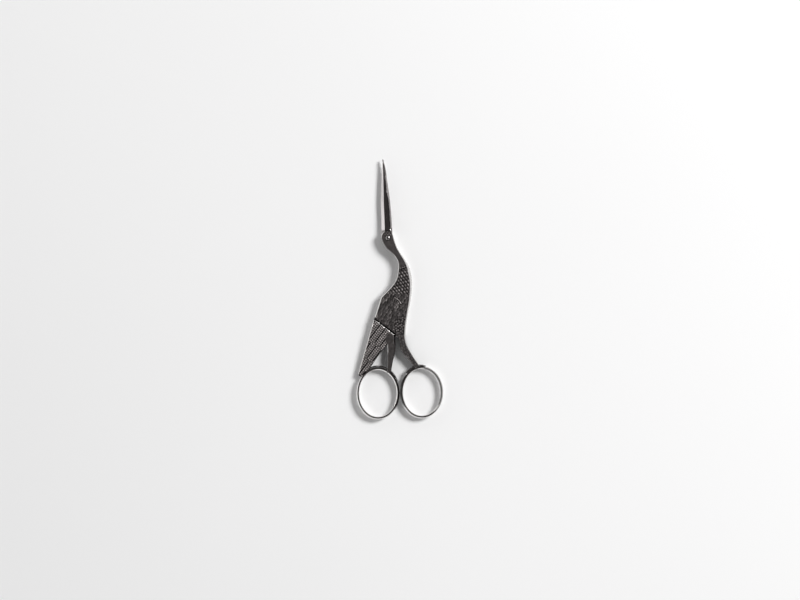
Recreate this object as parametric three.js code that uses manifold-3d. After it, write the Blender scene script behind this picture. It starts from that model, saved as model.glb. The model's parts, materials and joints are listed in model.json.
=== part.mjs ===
// Embroidery scissors shaped as a stork, closed and lying flat.
// Millimetres, +Z up, beak towards +Y, upper half's ring towards +X.
// Everything is laid out from the pivot axis, then set on the middle of its own footprint.
import * as THREE from 'three';
import { mergeVertices } from 'three/addons/utils/BufferGeometryUtils.js';
import Module from 'manifold-3d';

// Thickness of the two halves, which lap each other from the beak to the thighs
const HALF_THICKNESS = 1.75;
const LAP_GAP = 0.2;
const EDGE_BEVEL_WIDTH = 0.6;
const EDGE_BEVEL_DEPTH = 0.5;

// Pivot screw, the bird's eye
const SCREW_SHANK_DIAMETER = 1.6;
const SCREW_HEAD_DIAMETER = 2.5;
const SCREW_HEAD_SEAT = 0.4;
const SCREW_HEAD_DOME = 0.45;
const SCREW_SLOT_WIDTH = 0.45;
const SCREW_SLOT_DEPTH = 0.4;
const SCREW_TAIL_RECESS = 0.15;
const TURNING_CLEARANCE = 0.08;
const FIXED_CLEARANCE = 0.05;

// Blades, which together are the closed beak
const BEAK_LENGTH = 34.5;
const BEAK_LEAN = 2.2;
const BEAK_BASE_WIDTH = 4.9;
const BEAK_BASE_OFFSET = -0.5;
const BEAK_BOW = 0.275;
const BEAK_SWELL = 0.725;
const BLADE_BASE_WIDTH = 4.2;
const BLADE_BASE_THICKNESS = 1.4;
const BLADE_TIP_THICKNESS = 0.45;
const BLADE_EDGE_SWELL = 0.4;
const BLADE_EDGE_THICKNESS = 0.2;
const BLADE_EDGE_SLOPE_WIDTH = 0.9;
const BLADE_BACK_THICKNESS = 0.3;
const BLADE_BACK_SLOPE_WIDTH = 1.6;
const HEEL_NOTCH_RADIUS = 0.5;

// Bird's outline: how far each place lies below the pivot, its middle's offset to the right, and its width
const CROWN_RISE = 2.9;
const HEAD_OFFSET = -0.1;
const HEAD_WIDTH = 5.7;
const THROAT_DROP = 4.2;
const THROAT_OFFSET = 1.6;
const THROAT_WIDTH = 5.2;
const NAPE_DROP = 7.4;
const NAPE_OFFSET = 4.3;
const NAPE_WIDTH = 3.7;
const NECK_DROP = 10.4;
const NECK_OFFSET = 6.2;
const NECK_WIDTH = 3.8;
const COLLAR_DROP = 13.8;
const COLLAR_OFFSET = 7.1;
const COLLAR_WIDTH = 5.1;
const BREAST_DROP = 19.5;
const BREAST_OFFSET = 6.8;
const BREAST_WIDTH = 7.6;
const SHOULDER_DROP = 26;
const SHOULDER_OFFSET = 3.6;
const SHOULDER_WIDTH = 13.2;
const FLANK_DROP = 34.9;
const FLANK_OFFSET = 1.4;
const FLANK_WIDTH = 14.4;
const RUMP_DROP = 43.4;
const RUMP_RIGHT = 7.7;

// Parting between the halves: slanting along the top of the wing, then straight down between the thighs
const PARTING_X = 3.5;
const PARTING_DROP = 41.95;
const PARTING_GAP = 0.4;
const LAP_RADIUS = 43.6;
const LAP_END_GAP = 0.3;

// Legs, wing and tail, which thin down from the thighs to the rings
const LEG_END_HEIGHT = 2.4;
const RIGHT_LEG_TOP_WIDTH = 2.9;
const RIGHT_LEG_END_WIDTH = 2.2;
const RIGHT_LEG_BEND_X = 7.1;
const RIGHT_LEG_BEND_DROP = 49.3;
const RIGHT_LEG_ANGLE = 100;
const LEFT_LEG_TOP_WIDTH = 3.4;
const LEFT_LEG_END_WIDTH = 1.8;
const LEFT_LEG_BEND_SHARE = 0.313;
const LEFT_LEG_ANGLE = 56.5;
const WING_FORK_DROP = 46.5;
const WING_FORK_SWELL = 0.3;
const TAIL_OUTER_ANGLE = 141;
const TAIL_INNER_ANGLE = 123;
const TAIL_OVERHANG = 1.4;

// Finger rings and the feet on them
const RING_WIDTH = 18.9;
const RING_LENGTH = 22.5;
const RING_BAND = 1.35;
const RING_HEIGHT = 2.1;
const RING_DROP = 68.1;
const RIGHT_RING_RISE = 0.3;
const RING_PARTING_X = 5.25;
const RING_GAP = 0.3;
const RING_ROUNDING = 0.5;
const FOOT_THICKNESS = 0.7;
const RIGHT_FOOT_ANGLES = [79, 128];
const LEFT_FOOT_ANGLES = [42, 118];

// Fineness of the curves, and a reach that is past every piece
const EDGE_STEPS = 44;
const CURVE_STEPS = 12;
const ROUND_SIDES = 48;
const RING_SIDES = 64;
const LAP_SIDES = 240;
const BEVEL_STEPS = 2;
const PAST_ALL = 200;

// Heights that follow from the thicknesses
const TOTAL_THICKNESS = 2 * HALF_THICKNESS + LAP_GAP;
const MIDDLE = TOTAL_THICKNESS / 2;
const UPPER_INNER_FACE = MIDDLE + LAP_GAP / 2;
const LOWER_INNER_FACE = MIDDLE - LAP_GAP / 2;

const wasm = await Module();
wasm.setup();

function point(x, y) {
  return new THREE.Vector2(x, y);
}

// Solid body of a closed geometry, for joining and cutting
function solid(geometry) {
  geometry.deleteAttribute('normal');
  geometry.deleteAttribute('uv');
  const merged = mergeVertices(geometry);
  return new wasm.Manifold(new wasm.Mesh({
    numProp: 3,
    vertProperties: new Float32Array(merged.attributes.position.array),
    triVerts: new Uint32Array(merged.index.array),
  }));
}

function geometryOf(body) {
  const mesh = body.getMesh();
  const geometry = new THREE.BufferGeometry();
  geometry.setAttribute('position', new THREE.BufferAttribute(mesh.vertProperties, 3));
  geometry.setIndex(new THREE.BufferAttribute(mesh.triVerts, 1));
  geometry.computeVertexNormals();
  return geometry;
}

// Flat plate about the middle plane, with rounded edges above and below
function plate(shape, height, bevelWidth, bevelDepth) {
  const geometry = new THREE.ExtrudeGeometry(shape, {
    depth: height - 2 * bevelDepth,
    curveSegments: CURVE_STEPS,
    bevelThickness: bevelDepth,
    bevelSize: bevelWidth,
    bevelOffset: -bevelWidth,
    bevelSegments: BEVEL_STEPS,
  });
  geometry.translate(0, 0, MIDDLE - height / 2 + bevelDepth);
  return solid(geometry);
}

function bodyPlate(outline) {
  return plate(new THREE.Shape(outline), TOTAL_THICKNESS, EDGE_BEVEL_WIDTH, EDGE_BEVEL_DEPTH);
}

// Straight-walled prism between two heights
function prism(outline, bottom, top) {
  const geometry = new THREE.ExtrudeGeometry(new THREE.Shape(outline), {
    depth: top - bottom,
    bevelEnabled: false,
  });
  geometry.translate(0, 0, bottom);
  return solid(geometry);
}

// Upright round bar on the pivot axis, or on another axis through x, y
function roundBar(radius, bottom, top, sides, x = 0, y = 0) {
  const geometry = new THREE.CylinderGeometry(radius, radius, top - bottom, sides);
  geometry.rotateX(Math.PI / 2);
  geometry.translate(x, y, (top + bottom) / 2);
  return solid(geometry);
}

// Everything above a plane that falls or rises along Y, from one place and height to another
function aboveSlope(nearY, nearZ, farY, farZ) {
  const slope = Math.atan((farZ - nearZ) / (farY - nearY));
  const geometry = new THREE.BoxGeometry(2 * PAST_ALL, 2 * PAST_ALL, PAST_ALL);
  geometry.translate(0, 0, PAST_ALL / 2);
  geometry.rotateX(slope);
  geometry.translate(0, nearY, nearZ);
  return solid(geometry);
}

function mirrored(body) {
  return body.mirror([0, 0, 1]).translate([0, 0, TOTAL_THICKNESS]);
}

// Bird's edges, from the crown down to the flank, on its left side (-1) or right side (1)
function birdEdge(side) {
  const places = [
    [-CROWN_RISE, BEAK_BASE_OFFSET, BEAK_BASE_WIDTH],
    [0, HEAD_OFFSET, HEAD_WIDTH],
    [THROAT_DROP, THROAT_OFFSET, THROAT_WIDTH],
    [NAPE_DROP, NAPE_OFFSET, NAPE_WIDTH],
    [NECK_DROP, NECK_OFFSET, NECK_WIDTH],
    [COLLAR_DROP, COLLAR_OFFSET, COLLAR_WIDTH],
    [BREAST_DROP, BREAST_OFFSET, BREAST_WIDTH],
    [SHOULDER_DROP, SHOULDER_OFFSET, SHOULDER_WIDTH],
    [FLANK_DROP, FLANK_OFFSET, FLANK_WIDTH],
  ];
  const points = places.map(([drop, offset, width]) => point(offset + side * width / 2, -drop));
  if (side > 0) {
    points.push(point(RUMP_RIGHT, -RUMP_DROP));
    return new THREE.SplineCurve(points).getSpacedPoints(EDGE_STEPS);
  }
  const flank = points.pop();
  return [...new THREE.SplineCurve(points).getSpacedPoints(EDGE_STEPS), flank];
}

const leftEdge = birdEdge(-1);
const rightEdge = birdEdge(1);
const flankCorner = leftEdge.at(-1);
const rumpCorner = rightEdge.at(-1);
const partingCorner = point(PARTING_X, -PARTING_DROP);
const partingSlant = partingCorner.clone().sub(flankCorner).normalize();

// Point on a finger ring's ellipse, at a growth of its half axes and an angle from +X
function ringPoint(centre, growth, degrees) {
  const angle = THREE.MathUtils.degToRad(degrees);
  const x = centre.x + (RING_WIDTH / 2 + growth) * Math.cos(angle);
  return point(x, centre.y + (RING_LENGTH / 2 + growth) * Math.sin(angle));
}

const ringReach = RING_GAP / 2 + RING_WIDTH / 2;
const rightRing = point(RING_PARTING_X + ringReach, RIGHT_RING_RISE - RING_DROP);
const leftRing = point(RING_PARTING_X - ringReach, -RING_DROP);

function fingerRing(centre) {
  const shape = new THREE.Shape();
  shape.absellipse(centre.x, centre.y, RING_WIDTH / 2, RING_LENGTH / 2, 0, 2 * Math.PI);
  const hole = new THREE.Path();
  const bandX = RING_WIDTH / 2 - RING_BAND;
  const bandY = RING_LENGTH / 2 - RING_BAND;
  hole.absellipse(centre.x, centre.y, bandX, bandY, 0, 2 * Math.PI);
  const outline = new THREE.Shape(shape.getSpacedPoints(RING_SIDES));
  outline.holes.push(new THREE.Path(hole.getSpacedPoints(RING_SIDES)));
  return plate(outline, RING_HEIGHT, RING_ROUNDING, RING_ROUNDING);
}

// Foot of the bird, lying along the outside of its ring
function foot(centre, [startAngle, endAngle]) {
  const outer = [];
  const inner = [];
  for (let step = 0; step <= CURVE_STEPS; step += 1) {
    const angle = THREE.MathUtils.lerp(startAngle, endAngle, step / CURVE_STEPS);
    const crest = Math.sin(Math.PI * step / CURVE_STEPS);
    outer.push(ringPoint(centre, FOOT_THICKNESS * crest, angle));
    inner.unshift(ringPoint(centre, -RING_BAND / 2, angle));
  }
  const half = LEG_END_HEIGHT / 2;
  return prism([...outer, ...inner], MIDDLE - half, MIDDLE + half);
}

// Blade with its back on one side and its cutting edge on the other; back is -1 for the left
function blade(back) {
  const tip = point(-BEAK_LEAN, BEAK_LENGTH);
  const base = point(BEAK_BASE_OFFSET + back * BEAK_BASE_WIDTH / 2, 0);
  const heel = point(base.x - back * BLADE_BASE_WIDTH, 0);
  const backStandOff = BEAK_BOW + back * BEAK_SWELL;
  const edgeStandOff = BEAK_BOW - back * BLADE_EDGE_SWELL;
  const backPoints = bowed(base, tip, backStandOff).getPoints(CURVE_STEPS);
  const edgePoints = bowed(heel, tip, edgeStandOff).getPoints(CURVE_STEPS).reverse().slice(1);
  const baseTop = UPPER_INNER_FACE + BLADE_BASE_THICKNESS;
  const stock = prism([...backPoints, ...edgePoints], UPPER_INNER_FACE, baseTop);
  const taper = aboveSlope(CROWN_RISE, baseTop, tip.y, UPPER_INNER_FACE + BLADE_TIP_THICKNESS);
  return stock
    .subtract(taper)
    .subtract(sideSlope(base, tip, backStandOff, back, BLADE_BACK_THICKNESS, BLADE_BACK_SLOPE_WIDTH))
    .subtract(sideSlope(heel, tip, edgeStandOff, -back, BLADE_EDGE_THICKNESS, BLADE_EDGE_SLOPE_WIDTH));
}

// Curve between two points that stands off their straight line to the right, by so much at its middle
function bowed(start, end, standOff) {
  const bend = start.clone().lerp(end, 0.5).add(point(2 * standOff, 0));
  return new THREE.QuadraticBezierCurve(start, bend, end);
}

// Space above the slope that thins a blade down to its left side (-1) or right side (1)
function sideSlope(foot, tip, standOff, side, thickness, width) {
  const along = tip.clone().sub(foot);
  const slope = Math.atan2(BLADE_BASE_THICKNESS - thickness, width);
  const geometry = new THREE.BoxGeometry(PAST_ALL, PAST_ALL, PAST_ALL);
  geometry.translate(0, 0, PAST_ALL / 2);
  geometry.rotateY(side * slope);
  geometry.rotateZ(Math.atan2(-along.x, along.y));
  geometry.translate(foot.x + standOff * 2 / 3, foot.y, UPPER_INNER_FACE + thickness);
  return solid(geometry);
}

// Edges of a leg that bends once on its way down: left side from top to foot, right side from foot to top
function legEdges(top, bend, end, topWidth, endWidth) {
  const middle = new THREE.QuadraticBezierCurve(top, bend, end);
  const left = [];
  const right = [];
  for (let step = 0; step <= CURVE_STEPS; step += 1) {
    const share = step / CURVE_STEPS;
    const along = middle.getTangent(share);
    const half = THREE.MathUtils.lerp(topWidth, endWidth, share) / 2;
    const across = point(-along.y, along.x).multiplyScalar(half);
    left.push(middle.getPoint(share).sub(across));
    right.unshift(middle.getPoint(share).add(across));
  }
  return { left, right };
}

// Slopes that thin the legs, wing and tail down to the rings, above and below
function thinned(body) {
  const endY = rightRing.y + RING_LENGTH / 2;
  const endTop = MIDDLE + LEG_END_HEIGHT / 2;
  const above = aboveSlope(-RUMP_DROP, TOTAL_THICKNESS, endY, endTop);
  return body.subtract(above).subtract(mirrored(above));
}

// Upper half's plate: head, neck, body and right leg, down to the parting line
function upperPlate() {
  const leg = legEdges(
    point(RUMP_RIGHT - RIGHT_LEG_TOP_WIDTH / 2, -RUMP_DROP),
    point(RIGHT_LEG_BEND_X, -RIGHT_LEG_BEND_DROP),
    ringPoint(rightRing, -RING_BAND / 2, RIGHT_LEG_ANGLE),
    RIGHT_LEG_TOP_WIDTH,
    RIGHT_LEG_END_WIDTH,
  );
  const pastParting = 2 * EDGE_BEVEL_WIDTH;
  const outline = [
    ...rightEdge.slice(0, -1),
    ...leg.right.toReversed(),
    ...leg.left.toReversed(),
    point(PARTING_X - pastParting, -RUMP_DROP),
    flankCorner.clone().sub(point(0, 2 * pastParting)),
    ...leftEdge.toReversed(),
  ];
  const wingSide = [
    flankCorner.clone().addScaledVector(partingSlant, -PAST_ALL),
    partingCorner,
    point(PARTING_X, -PAST_ALL),
    point(-PAST_ALL, -PAST_ALL),
  ];
  return thinned(bodyPlate(outline))
    .subtract(prism(wingSide, -TOTAL_THICKNESS, 2 * TOTAL_THICKNESS))
    .subtract(roundBar(LAP_RADIUS, -TOTAL_THICKNESS, UPPER_INNER_FACE, LAP_SIDES));
}

// Corners of the wing: at its top beside the parting line, and where the tail leaves the ring
const toWing = point(partingSlant.y, -partingSlant.x).multiplyScalar(PARTING_GAP);
const wingTop = flankCorner.clone().add(toWing);
const tailOuter = ringPoint(leftRing, TAIL_OVERHANG, TAIL_OUTER_ANGLE);
const tailInner = ringPoint(leftRing, -RING_BAND / 2, TAIL_INNER_ANGLE);

// Lower half's plate under the upper half: head, neck and body, ending on an arc about the pivot
function lowerPlate() {
  const outline = [
    ...rightEdge,
    point(RUMP_RIGHT, -WING_FORK_DROP),
    point(0, -WING_FORK_DROP),
    wingTop.clone().lerp(tailOuter, 0.5),
    ...leftEdge.toReversed(),
  ];
  const lap = roundBar(LAP_RADIUS - LAP_END_GAP, -TOTAL_THICKNESS, LOWER_INNER_FACE, LAP_SIDES);
  return bodyPlate(outline).intersect(lap);
}

// Wing, left thigh and left leg, as thick as both halves, beside the parting line
function wingAndLeg() {
  const thighX = PARTING_X - PARTING_GAP;
  const slantReach = (thighX - wingTop.x) / partingSlant.x;
  const thighTop = wingTop.clone().addScaledVector(partingSlant, slantReach);
  const legTop = point(thighX - LEFT_LEG_TOP_WIDTH / 2, -WING_FORK_DROP);
  const legEnd = ringPoint(leftRing, -RING_BAND / 2, LEFT_LEG_ANGLE);
  const leg = legEdges(
    legTop,
    point(legTop.x, THREE.MathUtils.lerp(legTop.y, legEnd.y, LEFT_LEG_BEND_SHARE)),
    legEnd,
    LEFT_LEG_TOP_WIDTH,
    LEFT_LEG_END_WIDTH,
  );
  const fork = leg.left[0];
  const outline = [
    wingTop,
    tailOuter,
    ringPoint(leftRing, -RING_BAND / 2, TAIL_OUTER_ANGLE),
    tailInner,
    fork.clone().lerp(tailInner, 0.5).add(point(0, WING_FORK_SWELL)),
    ...leg.left,
    ...leg.right,
    thighTop,
  ];
  return thinned(bodyPlate(outline));
}

// Hole for the screw's shank, with a clearance all round
function shankHole(clearance) {
  return roundBar(SCREW_SHANK_DIAMETER / 2 + clearance, -TOTAL_THICKNESS, 2 * TOTAL_THICKNESS, ROUND_SIDES);
}

function upperHalf() {
  const seatRadius = SCREW_HEAD_DIAMETER / 2 + TURNING_CLEARANCE;
  const seatFloor = TOTAL_THICKNESS - SCREW_HEAD_SEAT - TURNING_CLEARANCE;
  const notchX = BEAK_BASE_OFFSET - BEAK_BASE_WIDTH / 2 + BLADE_BASE_WIDTH;
  const notchY = CROWN_RISE + HEEL_NOTCH_RADIUS;
  const notchTop = 2 * TOTAL_THICKNESS;
  return upperPlate()
    .add(blade(-1))
    .add(fingerRing(rightRing))
    .add(foot(rightRing, RIGHT_FOOT_ANGLES))
    .subtract(roundBar(HEEL_NOTCH_RADIUS, UPPER_INNER_FACE - LAP_GAP, notchTop, ROUND_SIDES, notchX, notchY))
    .subtract(shankHole(TURNING_CLEARANCE))
    .subtract(roundBar(seatRadius, seatFloor, 2 * TOTAL_THICKNESS, ROUND_SIDES));
}

function lowerHalf() {
  return lowerPlate()
    .add(mirrored(blade(1)))
    .add(wingAndLeg())
    .add(fingerRing(leftRing))
    .add(foot(leftRing, LEFT_FOOT_ANGLES))
    .subtract(shankHole(FIXED_CLEARANCE));
}

// Shank, seated head and low dome in one turning, with a slot across the dome
function pivotScrew() {
  const headRadius = SCREW_HEAD_DIAMETER / 2;
  const headBottom = TOTAL_THICKNESS - SCREW_HEAD_SEAT;
  const top = TOTAL_THICKNESS + SCREW_HEAD_DOME;
  const dome = new THREE.QuadraticBezierCurve(
    point(headRadius, TOTAL_THICKNESS),
    point(headRadius * 0.8, top),
    point(0, top),
  );
  const profile = [
    point(0, SCREW_TAIL_RECESS),
    point(SCREW_SHANK_DIAMETER / 2, SCREW_TAIL_RECESS),
    point(SCREW_SHANK_DIAMETER / 2, headBottom),
    point(headRadius, headBottom),
    ...dome.getPoints(CURVE_STEPS / 2),
  ];
  const turned = new THREE.LatheGeometry(profile, ROUND_SIDES);
  turned.rotateX(Math.PI / 2);
  const slot = new THREE.BoxGeometry(SCREW_SLOT_WIDTH, 2 * SCREW_HEAD_DIAMETER, 2 * SCREW_SLOT_DEPTH);
  slot.translate(0, 0, top);
  return solid(turned).subtract(solid(slot));
}

function part(name, body, color, roughness) {
  const material = new THREE.MeshStandardMaterial({ color, roughness, metalness: 1 });
  const mesh = new THREE.Mesh(geometryOf(body), material);
  mesh.name = name;
  return mesh;
}

const scissors = new THREE.Group();
scissors.add(part('lower_half', lowerHalf(), 0x6b6463, 0.3));
scissors.add(part('upper_half', upperHalf(), 0x6b6463, 0.3));
scissors.add(part('pivot_screw', pivotScrew(), 0x9a9694, 0.25));

// The origin is the middle of the footprint, on the surface that the scissors lie on
const footprint = new THREE.Box3().setFromObject(scissors);
const middle = footprint.getCenter(new THREE.Vector3());
scissors.position.set(-middle.x, -middle.y, -footprint.min.z);

export default scissors;
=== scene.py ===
"""Looks of the stork embroidery scissors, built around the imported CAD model.

Shapes are worked out in millimetres from the pivot axis, with z counted from the surface that the
scissors lie on. They are moved to the frame, in metres, when a mesh is made.
"""
import json
import math
from collections import namedtuple

import bpy
import numpy as np
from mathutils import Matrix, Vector
from mathutils.geometry import delaunay_2d_cdt
from mathutils.kdtree import KDTree


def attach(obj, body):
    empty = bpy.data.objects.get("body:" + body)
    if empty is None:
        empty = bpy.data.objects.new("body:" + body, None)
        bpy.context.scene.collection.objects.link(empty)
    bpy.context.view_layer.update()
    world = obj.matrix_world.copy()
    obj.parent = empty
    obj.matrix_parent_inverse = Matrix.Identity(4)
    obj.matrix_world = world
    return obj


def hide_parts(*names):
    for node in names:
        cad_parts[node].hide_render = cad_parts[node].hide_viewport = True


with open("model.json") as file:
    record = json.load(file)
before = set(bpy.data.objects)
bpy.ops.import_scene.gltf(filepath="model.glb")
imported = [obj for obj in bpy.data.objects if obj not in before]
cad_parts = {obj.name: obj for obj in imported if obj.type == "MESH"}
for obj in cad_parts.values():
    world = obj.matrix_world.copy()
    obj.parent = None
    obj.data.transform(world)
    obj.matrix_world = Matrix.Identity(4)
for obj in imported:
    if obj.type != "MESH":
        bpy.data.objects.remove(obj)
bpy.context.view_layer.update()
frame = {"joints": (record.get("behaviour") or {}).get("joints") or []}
PIVOT = frame["joints"][0]["pos_m"]
MILLIMETRE = 0.001

# Thicknesses, and the heights of the two faces that slide on each other
HALF_THICK = 1.75
LAP_GAP = 0.2
TOTAL = 2 * HALF_THICK + LAP_GAP
MIDDLE = TOTAL / 2
LOWER_INNER = HALF_THICK
UPPER_INNER = HALF_THICK + LAP_GAP
LEG_END_HALF = 1.2

# Radii about the pivot: where the right leg becomes thick, and where the lower half's plate ends
LAP_RADIUS = 43.6
LAP_END = 43.3

# The bird from its head down: drop below the pivot, offset of its middle to the right, and width
BIRD = [
    (-2.9, -0.5, 4.9), (0, -0.1, 5.7), (4.2, 1.6, 5.2), (7.4, 4.3, 3.7), (10.4, 6.2, 3.8),
    (13.8, 7.1, 5.1), (19.5, 6.8, 7.6), (26, 3.6, 13.2), (34.9, 1.4, 14.4),
]
FLANK_DROP, FLANK_OFFSET, FLANK_WIDTH = BIRD[-1]
HEAD_TOP_Y = 2.9
RUMP_RIGHT = 7.7
RUMP_Y = -43.4

# Parting line between body and wing, the directions along and away from it, and out of the wing's left
FLANK = np.array([FLANK_OFFSET - FLANK_WIDTH / 2, -FLANK_DROP])
PARTING = np.array([3.5, -41.95])
PARTING_GAP = 0.4
SLANT = (PARTING - FLANK) / np.hypot(*(PARTING - FLANK))
AWAY = np.array([SLANT[1], -SLANT[0]])
WING_TOP = FLANK + PARTING_GAP * AWAY
WING_OUT = (-0.972, 0.237)

# Right edge of the thigh, its top, and where the left leg and the tail part
THIGH_X = PARTING[0] - PARTING_GAP
THIGH_TOP = WING_TOP + SLANT * ((THIGH_X - WING_TOP[0]) / SLANT[0])
FORK_Y = -46.5

# Finger rings: half sizes of the oval, half width of the band, centres, and height of their tops
RING_HALF = np.array([9.45, 11.5])
BAND_HALF = 0.675
RIGHT_RING = np.array([14.85, -67.6])
LEFT_RING = np.array([-4.35, -68.1])
RING_TOP_Y = -56.55

# Legs and tail: widths at the top and at the ring, bends, and the angles at which they meet the rings
RIGHT_LEG_WIDTHS = (2.9, 2.2)
RIGHT_LEG_BEND = (7.1, -49.3)
RIGHT_LEG_ANGLE = 100
LEFT_LEG_WIDTHS = (3.4, 1.8)
LEFT_LEG_BEND_SHARE = 0.313
LEFT_LEG_ANGLE = 56.5
TAIL_INNER_ANGLE = 123
TAIL_FOOT_ANGLE = 141
TAIL_OUTER_ANGLE = 142
TAIL_OVERHANG = 1.7

# Spacing of points along outlines, and the triangulation that keeps what is inside them
EDGE_STEP = 0.14
INSIDE_ONLY = 1

# Places in each half's list of looks
ENGRAVED = 0
POLISHED = 1
BRUSHED = 2


# Small helpers

def smooth(low, high, value):
    """Share from 0 at low to 1 at high, eased at both ends."""
    share = np.clip((value - low) / (high - low), 0, 1)
    return share * share * (3 - 2 * share)


def chance(i, j, seed):
    """Repeatable number from 0 to 1 for a place in a pattern."""
    value = np.sin(i * 12.9898 + j * 78.233 + seed * 37.719) * 4375.85
    return value - np.floor(value)


def spline(points, count):
    """Smooth curve through points, as the CAD model draws it."""
    points = np.array(points, float)
    last = len(points) - 1
    place = np.linspace(0, last, count)
    i = np.minimum(place.astype(int), last - 1)
    w = (place - i)[:, None]
    p0 = points[np.maximum(i - 1, 0)]
    p1 = points[i]
    p2 = points[i + 1]
    p3 = points[np.minimum(i + 2, last)]
    v0 = (p2 - p0) / 2
    v1 = (p3 - p1) / 2
    return (2 * p1 - 2 * p2 + v0 + v1) * w**3 + (3 * p2 - 3 * p1 - 2 * v0 - v1) * w**2 + v0 * w + p1


def bowed(start, bend, end, count):
    """Curve from start to end that leans towards bend."""
    t = np.linspace(0, 1, count)[:, None]
    return (1 - t) ** 2 * np.array(start) + 2 * t * (1 - t) * np.array(bend) + t**2 * np.array(end)


def resample(path, step):
    """Points at even steps along an open path, both ends kept."""
    path = np.array(path, float)
    reach = np.concatenate([[0], np.cumsum(np.hypot(*np.diff(path, axis=0).T))])
    count = max(2, int(round(reach[-1] / step)) + 1)
    at = np.linspace(0, reach[-1], count)
    return np.stack([np.interp(at, reach, path[:, 0]), np.interp(at, reach, path[:, 1])], 1)


def swollen(path, top, length, reach):
    """Path pushed sideways, by up to reach, along a length below top."""
    share = np.clip((top - path[:, 1]) / length, 0, 1)
    return path + np.outer(reach * np.sin(np.pi * share) ** 2, (1, 0))


def circle(count):
    """Angles of evenly spaced points once round."""
    return np.linspace(0, 2 * np.pi, count, endpoint=False)


# Outlines

def ring_point(centre, growth, degrees):
    """Point on a ring's outline, moved out by growth."""
    angle = np.radians(degrees)
    return np.stack([
        centre[0] + (RING_HALF[0] + growth) * np.cos(angle),
        centre[1] + (RING_HALF[1] + growth) * np.sin(angle),
    ], -1)


def band_point(centre, degrees):
    """Point on the middle of a ring's band."""
    return ring_point(centre, -BAND_HALF, degrees)


def bird_edge(side):
    """Left (-1) or right (1) edge of the bird, from its head to its flank or rump."""
    points = [(offset + side * width / 2, -drop) for drop, offset, width in BIRD]
    if side > 0:
        return spline(points + [(RUMP_RIGHT, RUMP_Y)], count=400)
    return np.concatenate([spline(points[:-1], count=360), [FLANK]])


def leg_edges(top, bend, end, widths, count=40):
    """Left and right edges of a leg that bends once on its way down."""
    middle = bowed(top, bend, end, count)
    t = np.linspace(0, 1, count)[:, None]
    along = (1 - t) * (np.array(bend) - top) + t * (np.array(end) - bend)
    along /= np.hypot(along[:, 0], along[:, 1])[:, None]
    half = (widths[0] + (widths[1] - widths[0]) * t) / 2
    across = np.stack([-along[:, 1], along[:, 0]], 1) * half
    return middle - across, middle + across


def right_leg():
    """Inner and outer edges of the right leg, with a bulge on the inside."""
    top = (RUMP_RIGHT - RIGHT_LEG_WIDTHS[0] / 2, RUMP_Y)
    end = band_point(RIGHT_RING, RIGHT_LEG_ANGLE)
    inner, outer = leg_edges(top, RIGHT_LEG_BEND, end, RIGHT_LEG_WIDTHS)
    return swollen(inner, top=-44.8, length=9.2, reach=-1.05), outer


def left_leg():
    """Left leg's side to the tail, its side to the other leg, and the thigh's edge above that."""
    top = np.array([THIGH_X - LEFT_LEG_WIDTHS[0] / 2, FORK_Y])
    end = band_point(LEFT_RING, LEFT_LEG_ANGLE)
    bend = top + (0, LEFT_LEG_BEND_SHARE * (end[1] - FORK_Y))
    outer, inner = leg_edges(top, bend, end, LEFT_LEG_WIDTHS)
    thigh = resample([THIGH_TOP, inner[0]], 0.3)
    thigh, inner = (swollen(path, top=-43.3, length=13, reach=0.42) for path in (thigh, inner))
    return outer, inner, thigh


def lap_arc(radius, start, end, count):
    """Arc about the pivot, from the direction of one point to that of another."""
    turn = np.linspace(math.atan2(start[1], start[0]), math.atan2(end[1], end[0]), count)
    return np.stack([radius * np.cos(turn), radius * np.sin(turn)], 1)


LEFT_EDGE = bird_edge(-1)
RIGHT_EDGE = bird_edge(1)
HEAD_LEFT = np.concatenate([
    [(-1.5, HEAD_TOP_Y), (-2.15, 2.45), (-2.6, 1.8), (-2.85, 1.1), (-2.92, 0.3)],
    LEFT_EDGE[LEFT_EDGE[:, 1] < -0.3],
])
RIGHT_LEG_INNER, RIGHT_LEG_OUTER = right_leg()
LEFT_LEG_OUTER, LEFT_LEG_INNER, THIGH_EDGE = left_leg()
TAIL_OUTER = ring_point(LEFT_RING, TAIL_OVERHANG, TAIL_OUTER_ANGLE)
TAIL_FOOT = band_point(LEFT_RING, TAIL_FOOT_ANGLE)
TAIL_INNER = band_point(LEFT_RING, TAIL_INNER_ANGLE)


# Sloping sides: their width in plan, by the place along the outline

# Height above the pivot, and the width there of the bird's right and left sides
RIMS = [
    (-50, 0.3, 0.36), (-42, 0.6, 0.4), (-38.8, 0.74, 0.43), (-35, 0.58, 0.46), (-30, 0.7, 0.46),
    (-26.5, 0.75, 0.45), (-23, 0.85, 0.36), (-19.5, 0.95, 0.28), (-16, 1.05, 0.28), (-14.2, 1.05, 0.28),
    (-12.5, 0.85, 0.28), (-9, 0.6, 0.25), (-7.2, 0.5, 0.25), (-5.5, 0.42, 0.25), (-2, 0.45, 0.25),
    (3, 0.36, 0.3),
]
RIM_Y, RIM_RIGHT, RIM_LEFT = zip(*RIMS)
# Rims of the dark leg edges. The thigh's and the tail foot's are wide, to paint shade in the slot between the
# thighs and where the tail meets the ring
LEG_RIM = 0.12
THIGH_RIM = 0.4
LIP_RIM = 0.55
TAIL_FOOT_RIM = 1.05
TAIL_END_RIM = 0.35


def right_rim(part):
    return np.interp(part[:, 1], RIM_Y, RIM_RIGHT)


def left_rim(part):
    return np.interp(part[:, 1], RIM_Y, RIM_LEFT)


def outer_leg_rim(part):
    """The right leg's outer side narrows down the leg."""
    return 0.14 + 0.3 * smooth(-51, -46.5, part[:, 1])


def wing_rim(part):
    """The wing's edge is scalloped."""
    return 0.32 + 0.12 * np.cos(2 * np.pi * part[:, 1] / 0.9)


def shin_rim(part):
    """The left leg's side to the tail narrows below the thigh."""
    return np.where(part[:, 1] > -50.5, 0.25, LEG_RIM)


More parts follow.
